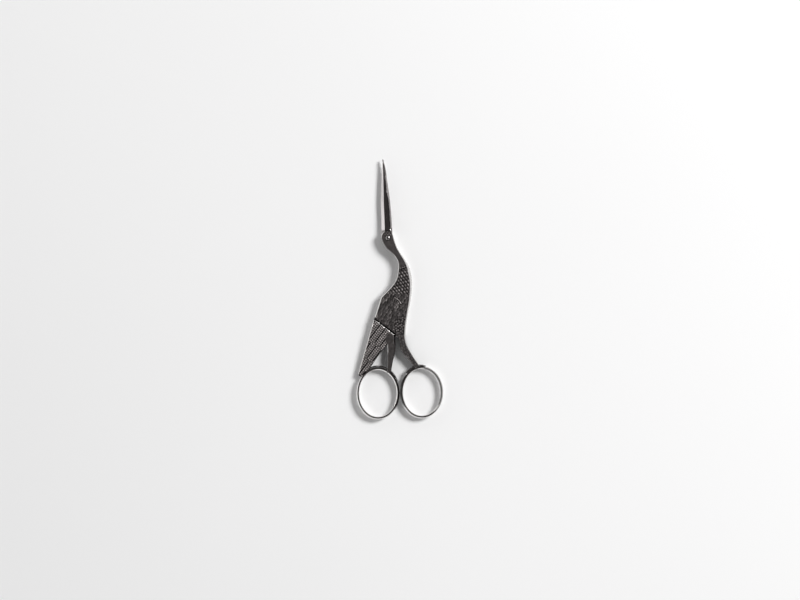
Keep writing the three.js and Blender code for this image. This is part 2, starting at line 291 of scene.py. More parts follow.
def nape_shade(part):
    """The left rim of the head and neck gets painted shade."""
    return 0.6 * smooth(0.8, -0.5, part[:, 1]) * smooth(-8.6, -6.8, part[:, 1])


def shin_shade(part):
    """The left leg's side to the tail gets painted shade below its thigh."""
    return 0.9 * smooth(-49.9, -50.5, part[:, 1])


# Kinds of edge: the chamfer's width and slope, how polished it is, and how much painted shade darkens it.
# Seams, legs and the lip's steep side get painted shade where shade falls in the gaps between parts,
# and the brow gets some at its step over the blade
Edge = namedtuple("Edge", "chamfer slope polish shade")
SIDE = Edge(0.2, 0.85, 1.0, 0.0)
BACK = Edge(0.38, 0.85, 1.0, nape_shade)
SHIN = Edge(0.38, 0.85, 1.0, shin_shade)
LEG = Edge(0.05, 0.85, 0.0, 1.0)
SEAM = Edge(0.0, 0.0, 0.0, 1.0)
BROW = Edge(0.0, 0.0, 0.0, 0.4)
LIP = Edge(0.27, 0.37, 1.0, 1.0)


def value_along(value, part):
    """Value at each point of a part of an outline, from a number or a function of the points."""
    return value(part) if callable(value) else np.full(len(part), value)


class Outline:
    """Closed outline made of runs of points, each with the width in plan of its sloping side."""

    SAMPLES = 4
    MOST_CHAMFER = 0.85
    BATCH = 4000

    def __init__(self, runs, inset=0.0):
        points, edges = [], []
        for path, rim, kind in runs:
            part = resample(path, EDGE_STEP)[:-1]
            wide = value_along(rim, part)
            chamfer, slope, polish, shade = (value_along(value, part) for value in kind)
            chamfer = np.minimum(chamfer, self.MOST_CHAMFER * wide)
            points.append(part)
            edges.append(np.stack([wide, chamfer, slope, polish, shade], 1))
        self.points = np.concatenate(points)
        self.edges = np.concatenate(edges)
        self._find_inward()
        self.points = self.points + inset * self.inward
        self._plant_tree()

    def _find_inward(self):
        """Direction into the outline at each point, and which way round the outline runs."""
        after = np.roll(self.points, -1, 0)
        area = np.sum(self.points[:, 0] * after[:, 1] - after[:, 0] * self.points[:, 1]) / 2
        along = after - np.roll(self.points, 1, 0)
        along /= np.hypot(along[:, 0], along[:, 1])[:, None]
        self.inward = np.stack([-along[:, 1], along[:, 0]], 1) * np.sign(area)
        self.turn = 1 if area > 0 else -1

    def _plant_tree(self):
        """Search tree of points on the outline, a few to each edge."""
        after = np.roll(self.points, -1, 0)
        fine = np.linspace(0, 1, self.SAMPLES, endpoint=False)[None, :, None]
        samples = (self.points[:, None] * (1 - fine) + after[:, None] * fine).reshape(-1, 2)
        self.tree = KDTree(len(samples))
        for i, (x, y) in enumerate(samples.tolist()):
            self.tree.insert((x, y, 0), i)
        self.tree.balance()

    def distance(self, points):
        """Distance of each point to the outline, and what the edge is like there."""
        found = [self.tree.find((x, y, 0))[1:] for x, y in points.tolist()]
        index = np.array([f[0] for f in found], int)
        return np.array([f[1] for f in found]), self.edges[index // self.SAMPLES]

    def inside(self, points):
        """Which points lie inside the outline."""
        a = self.points
        b = np.roll(a, -1, 0)
        result = np.zeros(len(points), bool)
        for start in range(0, len(points), self.BATCH):
            p = points[start:start + self.BATCH]
            crosses = (a[:, 1] > p[:, 1, None]) != (b[:, 1] > p[:, 1, None])
            lift = np.where(b[:, 1] == a[:, 1], 1e-9, b[:, 1] - a[:, 1])
            x = a[:, 0] + (p[:, 1, None] - a[:, 1]) * ((b[:, 0] - a[:, 0]) / lift)
            result[start:start + self.BATCH] = np.sum(crosses & (p[:, 0, None] < x), 1) % 2 == 1
        return result


# Meshes

def new_object(name, data):
    """Object of a mesh, lamp or camera, put in the scene."""
    obj = bpy.data.objects.new(name, data)
    bpy.context.scene.collection.objects.link(obj)
    return obj


def rim_rows(outline):
    """Rows of points inside an outline that follow its sloping side and the start of its face."""
    edge = outline.points
    rim = outline.edges[:, 0]
    foot = rim - outline.edges[:, 1]
    everywhere = rim >= 0
    sloped = rim > 0.08
    tall = sloped & (foot > 0.2)
    rows = []
    for depth, wanted in (
        (foot / 2, tall), (foot - 0.05, tall), (foot, sloped), (rim, sloped),
        (rim + 0.12, everywhere), (rim + 0.25, everywhere),
    ):
        deep = depth[wanted]
        row = edge[wanted] + deep[:, None] * outline.inward[wanted]
        inside = outline.inside(row)
        row, deep = row[inside], deep[inside]
        gap, _ = outline.distance(row)
        rows.append(row[gap > 0.94 * deep])
    return rows


def field_points(outline, step):
    """Even field of points on an outline's face, clear of its sloping side."""
    low = outline.points.min(0)
    high = outline.points.max(0)
    row_share = 0.87
    margin = 0.32
    xs = np.arange(low[0], high[0], step)
    ys = np.arange(low[1], high[1], step * row_share)
    grid = np.stack(np.meshgrid(xs, ys), -1)
    grid[1::2, :, 0] += step / 2
    grid = grid.reshape(-1, 2)
    grid = grid[outline.inside(grid)]
    gap, kinds = outline.distance(grid)
    return grid[gap > kinds[:, 0] + margin]


def fill(outline, step):
    """Points and triangles inside an outline, and the loop of points round it."""
    points = np.concatenate([outline.points, *rim_rows(outline), field_points(outline, step)])
    loop = list(range(len(outline.points)))
    if outline.turn < 0:
        loop.reverse()
    points = [Vector(p) for p in points.tolist()]
    found, _, faces, *_ = delaunay_2d_cdt(points, [], [loop], INSIDE_ONLY, 0.004)
    return np.array([(v.x, v.y) for v in found]), [tuple(f) for f in faces], loop


def mesh_object(name, points, faces, looks, look=0, relief=None):
    """Object from points in millimetres from the pivot.
    Its relief colours hold each point's ridge, polish and shade."""
    points = np.array(points, float) * MILLIMETRE
    points[:, 0] += PIVOT[0]
    points[:, 1] += PIVOT[1]
    mesh = bpy.data.meshes.new(name)
    mesh.from_pydata(points.tolist(), [], faces)
    for material in looks:
        mesh.materials.append(material)
    mesh.polygons.foreach_set("material_index", np.broadcast_to(look, len(mesh.polygons)).astype(np.int32))
    layer = mesh.attributes.new("relief", "FLOAT_COLOR", "POINT")
    if relief is None:
        relief = np.tile([1.0, 1.0, 0.0], (len(points), 1))
    colours = np.concatenate([relief, np.ones((len(points), 1))], 1)
    layer.data.foreach_set("color", colours.astype(np.float32).ravel())
    return new_object(name, mesh)


def relief_plate(name, outline, face, flat, looks, step):
    """Solid between a carved face and a flat one. Its carved face is on top where it lies above flat."""
    plan, faces, loop = fill(outline, step)
    gap, edges = outline.distance(plan)
    gap[loop] = 0
    edges[loop] = outline.edges[loop]
    carved, marks = face(plan[:, 0], plan[:, 1], gap, edges)
    count = len(plan)
    edge = len(loop)
    points = np.concatenate([
        np.column_stack([plan, carved]),
        np.column_stack([plan[loop], np.full(edge, flat)]),
    ])
    border = [Vector(p) for p in plan[loop].tolist()]
    _, _, cap, *_ = delaunay_2d_cdt(border, [], [list(range(edge))], INSIDE_ONLY, 1e-5)
    skin = list(faces)
    for i in range(edge):
        j = (i + 1) % edge
        skin.append((loop[i], count + i, count + j, loop[j]))
    look = [ENGRAVED] * len(skin) + [BRUSHED] * len(cap)
    skin += [tuple(count + i for i in reversed(f)) for f in cap]
    if carved.mean() < flat:
        skin = [f[::-1] for f in skin]
    # The foot of each side wall takes its edge's painted shade
    low_marks = marks[loop].copy()
    low_marks[:, 2] = edges[loop, 4]
    return mesh_object(name, points, skin, looks, look, np.concatenate([marks, low_marks]))


def sweep(name, rows, looks, look=0, closed=True, relief=None):
    """Skin over rows of points, each row a closed section; open sweeps get end caps."""
    rows = np.array(rows, float)
    count, around = rows.shape[:2]
    faces = []
    for i in range(count if closed else count - 1):
        k = (i + 1) % count
        for j in range(around):
            m = (j + 1) % around
            faces.append((i * around + j, i * around + m, k * around + m, k * around + j))
    if not closed:
        faces.append(tuple(range(around))[::-1])
        faces.append(tuple((count - 1) * around + j for j in range(around)))
    return mesh_object(name, rows.reshape(-1, 3), faces, looks, look, relief)


def joined(base, others, cuts=()):
    """One solid of base and others, less the cuts. Brushed faces stay flat, and the rest are smooth."""
    for operation, pieces in (("UNION", others), ("DIFFERENCE", cuts)):
        for piece in pieces:
            step = base.modifiers.new(piece.name, "BOOLEAN")
            step.operation = operation
            step.object = piece
            step.solver = "MANIFOLD"
    bpy.context.view_layer.update()
    whole = base.evaluated_get(bpy.context.evaluated_depsgraph_get())
    mesh = bpy.data.meshes.new_from_object(whole)
    base.modifiers.clear()
    base.data = mesh
    mesh.name = base.name
    for piece in list(others) + list(cuts):
        bpy.data.objects.remove(piece)
    mesh.set_sharp_from_angle(angle=math.radians(30))
    look = np.zeros(len(mesh.polygons), np.int32)
    mesh.polygons.foreach_get("material_index", look)
    mesh.polygons.foreach_set("use_smooth", look != BRUSHED)
    return base


# Carved patterns

# What each gives: height from 0 to 1, depth of the carving, where there is any, its tone, and black lines
Carving = namedtuple("Carving", "height depth carved tone dark")

# Where the head ends, and the tone of the plain neck
HEAD_END_Y = -3
PLAIN_TONE = 0.22

# The small scroll on the flank, as two strokes
SCROLL = (
    [(2.1, -28.6), (2.4, -27.0), (2.9, -26.2)],
    [(2.9, -26.2), (4.3, -27.0), (5.2, -28.0), (5.7, -28.9)],
)

# The wing's feathers: width, the first one's place, and reach of each row's tips from the parting line
FEATHER_HALF = 1.4
FEATHER_WIDTH = 2 * FEATHER_HALF
FEATHER_SHIFT = 1.06
FEATHER_TIPS = (9.6, 17.2, 30.0)

# Place of the first notch in the wing's lip
NOTCH_SHIFT = 0.76


def turned(x, y, angle):
    """Place along and down the rows of a pattern that is turned by an angle."""
    c, s = math.cos(angle), math.sin(angle)
    return c * x + s * y, s * x - c * y


def domes(x, y, angle, pitch, row, half_u, half_w, wander, turn, seed, lean=0.0):
    """Rows of overlapping ovals. Gives each point's height from 0 to 1, and its place on its oval."""
    along, down = turned(x, y, angle)
    best = np.zeros_like(x)
    best_u = np.zeros_like(x)
    best_w = np.zeros_like(x)
    first = np.floor(down / row)
    for dr in (-1, 0, 1):
        r = first + dr
        shift = 0.5 * np.mod(r, 2)
        near = np.floor(along / pitch - shift + 0.5)
        for dk in (-1, 0, 1):
            k = near + dk
            u = along - (k + shift + wander * (chance(k, r, seed) - 0.5)) * pitch
            w = down - (r + 0.5 + wander * (chance(k, r, seed + 1) - 0.5)) * row
            a = lean + turn * (chance(k, r, seed + 2) - 0.5)
            uu = u * np.cos(a) + w * np.sin(a)
            ww = w * np.cos(a) - u * np.sin(a)
            lift = np.clip(1 - (uu / half_u) ** 2 - (ww / half_w) ** 2, 0, 1)
            lift = lift * (0.6 + 0.4 * chance(k, r, seed + 3))
            better = lift > best
            best = np.where(better, lift, best)
            best_u = np.where(better, uu / half_u, best_u)
            best_w = np.where(better, ww / half_w, best_w)
    return best, best_u, best_w


def to_line(x, y, path):
    """Distance to a line through a few points."""
    best = np.full_like(x, 1e9)
    for (ax, ay), (bx, by) in zip(path[:-1], path[1:]):
        dx, dy = bx - ax, by - ay
        t = np.clip(((x - ax) * dx + (y - ay) * dy) / (dx * dx + dy * dy), 0, 1)
        best = np.minimum(best, np.hypot(x - ax - t * dx, y - ay - t * dy))
    return best


def to_groove(place, pitch):
    """Distance to the nearest of even grooves, as a share of their pitch. A cell's middle is at 0."""
    return 0.5 - np.abs(np.mod(place / pitch + 0.5, 1) - 0.5)


def feathers(x, y, angle, pitch, row, wander, seed):
    """Rows of overlapping feathers with their tips down. Gives each point's height from 0 to 1."""
    along, down = turned(x, y, angle)
    height = np.zeros_like(x)
    covered = np.zeros(x.shape, bool)
    first = np.floor(down / row)
    for r in (first - 1, first):
        shift = 0.5 * np.mod(r, 2)
        k = np.floor(along / pitch - shift + 0.5)
        u = along - (k + shift + wander * (chance(k, r, seed) - 0.5)) * pitch
        w = down - (r + wander * (chance(k, r, seed + 1) - 0.5)) * row
        across = np.abs(u) / (0.5 * pitch)
        reach = row * (1.95 - 0.8 * across**2)
        here = (across < 1) & (w < reach) & ~covered
        edge = np.minimum(0.5 * pitch * (1 - across), reach - w)
        rib = np.exp(-(u / 0.1) ** 2)
        barbs = (0.5 + 0.5 * np.sin(2 * np.pi * (w - np.abs(u)) / 0.5)) * (1 - rib)
        lift = (0.2 + 0.8 * np.clip(w / reach, 0, 1)) * (1 - 0.45 * barbs) * smooth(0.02, 0.26, edge)
        height = np.where(here, lift * (0.4 + 0.6 * chance(k, r, seed + 2)), height)
        covered |= here
    return height


def breast_scales(x, y):
    scales, _, down = domes(
        x, y, angle=0.26, pitch=1.27, row=1.42, half_u=0.52, half_w=0.92,
        wander=0.12, turn=0.3, seed=1, lean=-0.35,
    )
    return scales * (0.85 + 0.15 * down)


def rump_curls(x, y):
    curls, u, w = domes(
        x, y, angle=0.6, pitch=1.05, row=1.1, half_u=0.55, half_w=0.62,
        wander=0.5, turn=1.5, seed=9,
    )
    return curls * (0.65 + 0.35 * np.cos(6 * np.hypot(u, w) + np.arctan2(w, u)))


def leg_plates(x, y):
    """Staggered plates, as on a wading bird's leg."""
    plates, _, _ = domes(
        x, y, angle=0.64, pitch=1.2, row=1.3, half_u=0.62, half_w=0.78,
        wander=0.25, turn=0.6, seed=4,
    )
    return 0.3 + 0.7 * plates


def collar_beads(x, below):
    """Row of beads just above the collar's line."""
    across = np.mod(x - 0.2, 0.82) - 0.41
    down = below + 0.62
    return np.clip(1 - (across / 0.38) ** 2 - (down / 0.4) ** 2, 0, 1) ** 0.5


def crown_hatching(x, y):
    lines = np.minimum(to_groove(x + y, 1.2), to_groove(x - y + 0.3, 1.2))
    return smooth(0.05, 0.3, lines)


def body_pattern(x, y):
    """Body: hatched crown, plain neck, beaded collar, scaled breast, feathers, and curls on the rump."""
    low = smooth(-23.6, -25.2, y + 0.15 * (x - 5))
    rump = smooth(-34.4, -37.4, y - 0.55 * (x - 3.4)) * smooth(1.2, 3.6, x)
    plumage = feathers(x, y, angle=-0.3, pitch=1.3, row=1.6, wander=0.4, seed=5)
    height = breast_scales(x, y) * (1 - low) + plumage * low
    height = height * (1 - rump) + rump_curls(x, y) * rump

    scroll = np.minimum(*(to_line(x, y, stroke) for stroke in SCROLL))
    height = np.maximum(height, 0.7 * np.exp(-(scroll / 0.2) ** 2))
    height = height * (1 - 0.9 * np.exp(-((scroll - 0.42) / 0.16) ** 2))

    collar = -14.05 + 0.33 * (x - 5.3) - 0.05 * (x - 6.9) ** 2
    below = collar - y
    height = np.where(below < 0.05, collar_beads(x, below), height)
    height = height * (1 - np.exp(-((below - 0.05) / 0.15) ** 2))
    height = np.where(y > 0.5, crown_hatching(x, y), height)

    on_head = y > HEAD_END_Y
    depth = np.where(on_head, 0.09, 0.23 - 0.05 * low)
    carved = np.maximum(smooth(-1.15, -1.0, below), smooth(1.15, 1.5, y))
    tone = PLAIN_TONE + np.where(on_head, 0.08, 0.17 + 0.15 * low) * carved
    return Carving(height, depth, carved, tone, np.zeros_like(x))


def wing_place(x, y):
    """Place on the wing: along the parting line from the flank, and away from that line."""
    dx = x - FLANK[0]
    dy = y - FLANK[1]
    return dx * SLANT[0] + dy * SLANT[1], dx * AWAY[0] + dy * AWAY[1]


def wing_pattern(x, y):
    """Wing: three rows of long feathers with fine barbs, and a smooth thigh and leg."""
    along, away = wing_place(x, y)
    height = np.zeros_like(x)
    dark = np.zeros_like(x)
    taken = np.zeros(x.shape, bool)
    for k, tip in enumerate(FEATHER_TIPS):
        shift = FEATHER_SHIFT + FEATHER_HALF * (k % 2)
        m = np.floor((along - shift) / FEATHER_WIDTH)
        off = along - shift - FEATHER_WIDTH * (m + 0.5)
        rounding = 1 - np.sqrt(np.clip(1 - (off / 1.42) ** 2, 0, 1))
        reach = tip + 0.9 * (chance(m, k, 3) - 0.5) - 1.9 * rounding
        here = (away < reach) & ~taken
        in_side = smooth(0.15, 0.42, FEATHER_HALF - np.abs(off))
        in_end = smooth(0.0, 0.25, reach - away)
        barbs = smooth(0.06, 0.3, to_groove(away + 0.3 * np.abs(off), 0.95))
        cells = barbs * (0.25 + 0.75 * smooth(0.06, 0.3, to_groove(off, 0.933)))
        height = np.where(here, cells * in_side * in_end, height)
        line = np.maximum(1 - in_side, 0.7 * (1 - in_end))
        dark = np.where(here, np.maximum(line, 0.6 * (1 - cells)), dark)
        taken |= here
    thigh = smooth(2.3, 1.5, np.hypot(x - 0.9, (y + 44.3) / 1.35))
    leg = smooth(-45.6, -46.8, y) * smooth(-1.2, -0.4, x)
    plain = np.maximum(thigh, leg)
    height = height * (1 - plain) + 0.86 * plain
    depth = 0.17 * (1 - 0.7 * plain)
    return Carving(height, depth, np.ones_like(x), 1 - 0.73 * plain, dark * (1 - plain))


def upper_pattern(x, y):
    """Upper half: the body, and plates down the right leg."""
    body = body_pattern(x, y)
    leg = smooth(-41.4, -43.4, y)
    height = np.maximum(body.height * (1 - leg), leg_plates(x, y) * leg)
    return body._replace(height=height, depth=body.depth * (1 - 0.45 * leg), tone=body.tone * (1 - 0.2 * leg))


def lower_pattern(x, y):
    """Underside of the lower half: the body, the wing and the left leg."""
    _, away = wing_place(x, y)
    on_wing = smooth(0.1, 0.3, away) * smooth(3.65, 3.35, x)
    pairs = zip(body_pattern(x, y), wing_pattern(x, y))
    return Carving(*(body * (1 - on_wing) + wing * on_wing for body, wing in pairs))


# Carved faces

def half_height(y):
    """Half the thickness of the legs, wing and tail, which thin down to the rings."""
    share = np.clip((RUMP_Y - y) / (RUMP_Y - RING_TOP_Y), 0, 1.15)
    return MIDDLE + (LEG_END_HALF - MIDDLE) * share


def carve(x, y, gap, edges, pattern, thick):
    """Depth of each point below its plate's own face, with its ridge, polish and shade.
    The plate's side slopes steeply up from its outline, and ends in a narrow chamfer."""
    rim, chamfer, slope, polish, shade = edges.T
    height, depth, carved, tone, dark = pattern(x, y)
    inside = gap - rim
    field = smooth(0.0, 0.12, inside) * carved
    inner = smooth(0.02, 0.16, inside)
    drop = slope * chamfer * np.clip((rim - gap) / np.maximum(chamfer, 1e-6), 0, 1)
    steep = (thick - 0.02 - slope * chamfer) * np.clip(1 - gap / np.maximum(rim - chamfer, 1e-6), 0, 1)
    drop = drop + np.where(rim > 0.05, steep, 0) + field * (0.03 + depth * (1 - height * inner))
    ridge = tone * (1 - field * (1 - height * inner))
    # The shade mark paints shade along shaded rims and seams, fully on the lip's steep side by the body and
    # partly on its chamfer. The wing's black lines are added to it
    on_rim = 1 - smooth(-0.03, 0.03, inside)
    near_rim = np.where(polish > 0, on_rim, 1 - smooth(0.0, 0.15, inside))
    on_lip = np.where(gap < rim - chamfer - 0.02, 1, 0.35 * on_rim)
    shade = shade * np.where(slope == LIP.slope, on_lip, near_rim)
    shade = np.maximum(shade, dark * field)
    return drop, np.stack([ridge, polish * on_rim, shade], 1)


def plate_face(pattern, flat, up):
    """Carved face of a plate whose other face is flat: its top (1) or its underside (-1)."""
    def face(x, y, gap, edges):
        surface = MIDDLE + up * half_height(y)
        drop, marks = carve(x, y, gap, edges, pattern, up * (surface - flat))
        return surface - up * drop, marks
    return face


def wing_face(x, y, gap, edges):
    """Top of the wing, which rolls off to its left edge.
    Its lip is notched between feathers, with painted shade in the notches and at its corner."""
    along, away = wing_place(x, y)
    out = (x - WING_TOP[0]) * WING_OUT[0] + (y - WING_TOP[1]) * WING_OUT[1]
    top = MIDDLE + half_height(y) - 0.35 * np.clip(1 + out / 4.5, 0, 1) ** 2 * smooth(0.6, 4.0, away)
    drop, marks = carve(x, y, gap, edges, wing_pattern, top - LOWER_INNER)
    to_notch = np.abs(np.mod(along - NOTCH_SHIFT + FEATHER_HALF, FEATHER_WIDTH) - FEATHER_HALF)
    on_rim = smooth(0.1, 0.0, gap - edges[:, 0])
    # Painted shade on the lip in its notches between feathers and at the wing's top corner, where shade falls
    notch = smooth(0.4, 0.15, to_notch) * (edges[:, 2] == LIP.slope) * on_rim
    corner = smooth(1.0, 0.6, np.hypot(along, away - PARTING_GAP)) * on_rim
    marks[:, 2] = np.maximum(marks[:, 2], 0.9 * np.maximum(notch, corner))
    return top - drop - 0.1 * notch, marks


# Materials

class Nodes:
    """Node tree of a material or a world, with the few kinds of node that are used here."""

    def __init__(self, owner):
        owner.use_nodes = True
        self.nodes = owner.node_tree.nodes
        self.links = owner.node_tree.links
        self.shader = self.nodes.get("Principled BSDF")

    def new(self, kind, **inputs):
        """Node of a kind, with a value or a link for some of its inputs."""
        node = self.nodes.new(kind)
        for socket, value in inputs.items():
            if isinstance(value, bpy.types.NodeSocket):
                self.links.new(value, node.inputs[socket])
            else:
                node.inputs[socket].default_value = value
        return node

    def coordinates(self, kind, **mapping):
        """Texture coordinates, mapped where a location, rotation or scale is given."""
        vector = self.new("ShaderNodeTexCoord").outputs[kind]
        if mapping:
            vector = self.new("ShaderNodeMapping", Vector=vector, **mapping).outputs["Vector"]
        return vector

    def noise(self, scale, detail, **mapping):
        vector = self.coordinates("Object", **mapping)
        return self.new("ShaderNodeTexNoise", Vector=vector, Scale=scale, Detail=detail).outputs["Fac"]

    def ramp(self, value, stops):
        """Colours or grey levels by value, from pairs of place and colour."""
        node = self.new("ShaderNodeValToRGB", Fac=value)
        while len(node.color_ramp.elements) < len(stops):
            node.color_ramp.elements.new(0.5)
        for element, (place, colour) in zip(node.color_ramp.elements, stops):
            element.position = place
            element.color = (*colour, 1) if isinstance(colour, tuple) else (colour, colour, colour, 1)
        return node.outputs["Color"]

    def mottled(self, scale, detail, low, high):
        """Noise between two colours or grey levels."""
        return self.ramp(self.noise(scale, detail), [(0.3, low), (0.7, high)])

    def mix(self, first, second, share=1.0, mode="MIX"):
        node = self.new("ShaderNodeMix", Factor=share)
        node.data_type = "RGBA"
        node.blend_type = mode
        for socket, value in (("A", first), ("B", second)):
            target = next(i for i in node.inputs if i.name == socket and i.type == "RGBA")
            self.links.new(value, target)
        return next(o for o in node.outputs if o.type == "RGBA")

    def relief(self):
        """Ridge, polish and shade of the mesh."""
        layer = self.new("ShaderNodeVertexColor")
        layer.layer_name = "relief"
        return self.new("ShaderNodeSeparateColor", Color=layer.outputs["Color"]).outputs

    def shaded(self, colour, shade, darkest):
        """Colour, darkened where the mesh is shaded."""
        return self.mix(colour, self.ramp(shade, [(0.0, 1.0), (1.0, darkest)]), mode="MULTIPLY")

    def surface(self, colour, rough):
        """Sets the colour and roughness."""
        self.links.new(colour, self.shader.inputs["Base Color"])
        self.links.new(rough, self.shader.inputs["Roughness"])

    def bump(self, height, distance, strength):
        node = self.new("ShaderNodeBump", Height=height, Distance=distance, Strength=strength)
        self.links.new(node.outputs["Normal"], self.shader.inputs["Normal"])


def new_metal(name):
    """Metal material and its nodes."""
    material = bpy.data.materials.new(name)
    tree = Nodes(material)
    tree.shader.inputs["Metallic"].default_value = 1.0
    return material, tree


def engraved_metal():
    """Dark plate, lighter on the ridges of the carving, and polished along its rims. Painted shade darkens it
    where the mesh marks shade.
    """
    material, tree = new_metal("engraved_metal")
    ridge, polish, shade = tree.relief()
    face = tree.ramp(ridge, [(0.0, (0.03, 0.027, 0.027)), (1.0, (0.66, 0.604, 0.592))])
    face = tree.mix(face, tree.mottled(900, 4.0, 0.62, 1.0), mode="MULTIPLY")
    rim = tree.mottled(400, 3.0, (0.60, 0.585, 0.575), (0.72, 0.705, 0.695))
    colour = tree.shaded(tree.mix(face, rim, share=polish), shade, darkest=0.02)
    rough_face = tree.mottled(1500, 3.0, 0.43, 0.53)
    rough_rim = tree.mottled(700, 2.0, 0.12, 0.22)
    tree.surface(colour, tree.mix(rough_face, rough_rim, share=polish))
    tree.bump(tree.noise(3500, 2.0), distance=0.00001, strength=0.4)
    return material


def polished_metal():
    """Bright plate of the rings, darkened by painted shade where the mesh marks it, as where the rings face
    each other.
    """
    material, tree = new_metal("polished_metal")
    _, _, shade = tree.relief()
    bright = tree.mottled(300, 4.0, (0.70, 0.685, 0.675), (0.80, 0.785, 0.775))
    tree.surface(tree.shaded(bright, shade, darkest=0.03), tree.mottled(900, 3.0, 0.08, 0.17))
    tree.bump(tree.noise(2500, 2.0), distance=0.000004, strength=0.3)
    return material


def blade_metal():
    """Steel of the blades and of the halves' inner faces, with fine lines from grinding, darkened where the
    mesh marks painted shade or a painted dark reflection.
    """
    material, tree = new_metal("blade_metal")
    _, _, shade = tree.relief()
    lines = tree.noise(400, 4.0, Scale=(14, 1, 14), Rotation=(0, 0, 0.35))
    steel = tree.ramp(lines, [(0.3, (0.54, 0.51, 0.51)), (0.7, (0.68, 0.645, 0.645))])
    tree.surface(tree.shaded(steel, shade, darkest=0.1), tree.ramp(lines, [(0.3, 0.10), (0.7, 0.20)]))
    tree.bump(lines, distance=0.000006, strength=0.5)
    return material


def screw_metal():
    """Plain grey steel."""
    material, tree = new_metal("screw_metal")
    grain = tree.noise(1200, 3.0)
    steel = tree.ramp(grain, [(0.3, (0.27, 0.257, 0.253)), (0.7, (0.36, 0.344, 0.34))])
    tree.surface(steel, tree.ramp(grain, [(0.3, 0.2), (0.7, 0.28)]))
    tree.bump(grain, distance=0.000004, strength=0.4)
    return material


# Rings and toes

def mirrored(upper):
    """Closed upright section from its upper half, given from right to left."""
    return np.array(upper + [(u, -w) for u, w in upper[::-1]])


# Upright section of a ring's band or a toe: half its height in the middle and at its sides
BAND_TOP = 1.05
BAND_SIDE = 0.1

# Section of a toe, which is flat on top
TOE = mirrored([
    (BAND_HALF, BAND_SIDE), (0.4, 0.97), (0.33, BAND_TOP),
    (-0.33, BAND_TOP), (-0.4, 0.97), (-BAND_HALF, BAND_SIDE),
])
TOE_TONE = 0.17


def finger_ring(name, centre, facing, looks):
    """Oval ring of a bevelled band with drafted sides, pushed out to nearly touch the other ring where it
    faces it, with painted shade there.
    Its polished bevels are wider to the lower left, and the right ring's flat is narrower on the right."""
    half = RING_HALF - BAND_HALF
    facing_shade_strength = 1 if facing > 0 else 0.85
    rows, marks = [], []
    for a in circle(240):
        out = np.array([math.cos(a) / half[0], math.sin(a) / half[1]])
        out /= np.hypot(*out)
        at = centre + half * (math.cos(a), math.sin(a))
        flat = 0.31 - 0.23 * smooth(0.2, 0.6, math.cos(a - 0.35)) * (facing < 0)
        lean = 0.1 * (out[0] + out[1])
        section = mirrored([
            (BAND_HALF, BAND_SIDE), (0.55, 0.75), (lean + flat, BAND_TOP),
            (lean - flat, BAND_TOP), (-0.55, 0.75), (-BAND_HALF, BAND_SIDE),
        ])
        # Painted shade on the sides facing the other ring, which are also pushed out to nearly touch it
        near_other_ring = smooth(0.75, 0.93, facing * math.cos(a)) * (section[:, 0] > 0.12)
        section[:, 0] += 0.1 * near_other_ring
        rows.append([(at[0] + out[0] * u, at[1] + out[1] * u, MIDDLE + w) for u, w in section])
        marks.append([(1, 1, mark) for mark in near_other_ring * facing_shade_strength])
    relief = np.array(marks)[:, ::-1].reshape(-1, 3)
    return sweep(name, np.array(rows)[:, ::-1], looks, POLISHED, relief=relief)


def toe(name, centre, looks, start, end, thick, point, growth, joints=3, swell=0.14):
    """Toe along the outside of a ring between two angles, with joints, narrowing from thick to its point."""
    count = 46
    rows = []
    for t in np.arange(count) / (count - 1):
        angle = start + (end - start) * t
        at = ring_point(centre, growth, angle)
        a = math.radians(angle)
        out = np.array([math.cos(a) * RING_HALF[1], math.sin(a) * RING_HALF[0]])
        out /= np.hypot(*out)
        knuckle = 1 + swell * math.cos(2 * math.pi * joints * t)
        wide = knuckle * (thick + (point - thick) * t**1.4)
        tall = 1.2 - 0.12 * (1 - knuckle) - 0.25 * t**1.5
        across = np.outer(TOE[:, 0], out) * wide / BAND_HALF
        rows.append(np.column_stack([at + across, MIDDLE + TOE[:, 1] * tall / BAND_TOP]))
    rows = np.array(rows)
    rows = rows[:, ::-1] if end > start else rows
    marks = np.tile([TOE_TONE, 0.0, 0.0], (count * len(TOE), 1))
    return sweep(name, rows, looks, ENGRAVED, closed=False, relief=marks)


# Blades: length and tip of the beak, its middle and half width at the head, and the width of a blade there
BEAK_LENGTH = 34.5
BEAK_TIP_X = -2.2
BEAK_BASE_X = -0.5
BEAK_BASE_HALF = 2.45
BLADE_BASE_WIDTH = 4.2

# Thickness of a blade where it leaves the head and at its tip
BLADE_THICK = (1.4, 0.36)

# How far the beak and the blades' backs and edges stand off a straight line in the middle
BEAK_BOW = 0.275
BACK_SWELL = 0.725
EDGE_SWELL = 0.4

# Share of the blade's length, width of its back slope there, and where its flat top ends on the right
BLADE_SHAPE = [
    (0, 1.39, 1.25), (0.17, 1.34, 1.12), (0.22, 1.31, 1.0), (0.32, 1.3, 0.65), (0.4, 1.28, 0.45),
    (0.476, 1.25, 0.15), (0.6, 1.09, -0.5), (0.73, 0.8, -0.95), (0.86, 0.43, -1.55), (0.93, 0.25, -1.8),
    (1, 0.05, -2.0),
]
BLADE_AT, BACK_SLOPE, FLAT_END = zip(*BLADE_SHAPE)


def blade_plan(t, back):
    """Places of a blade's back and cutting edge at a share of its length."""
    base_x = BEAK_BASE_X + back * BEAK_BASE_HALF
    heel_x = base_x - back * BLADE_BASE_WIDTH
    bow = 4 * t * (1 - t)
    x_back = base_x + (BEAK_TIP_X - base_x) * t + bow * (BEAK_BOW + back * BACK_SWELL)
    if back > 0:
        x_back += 0.3 * math.sin(math.pi * min(max((t - 0.75) / 0.25, 0), 1))
    else:
        x_back += 0.32 * smooth(0.5, 0.2, t)
    x_edge = heel_x + (BEAK_TIP_X - heel_x) * t + bow * (BEAK_BOW - back * EDGE_SWELL)
    return x_back, x_edge


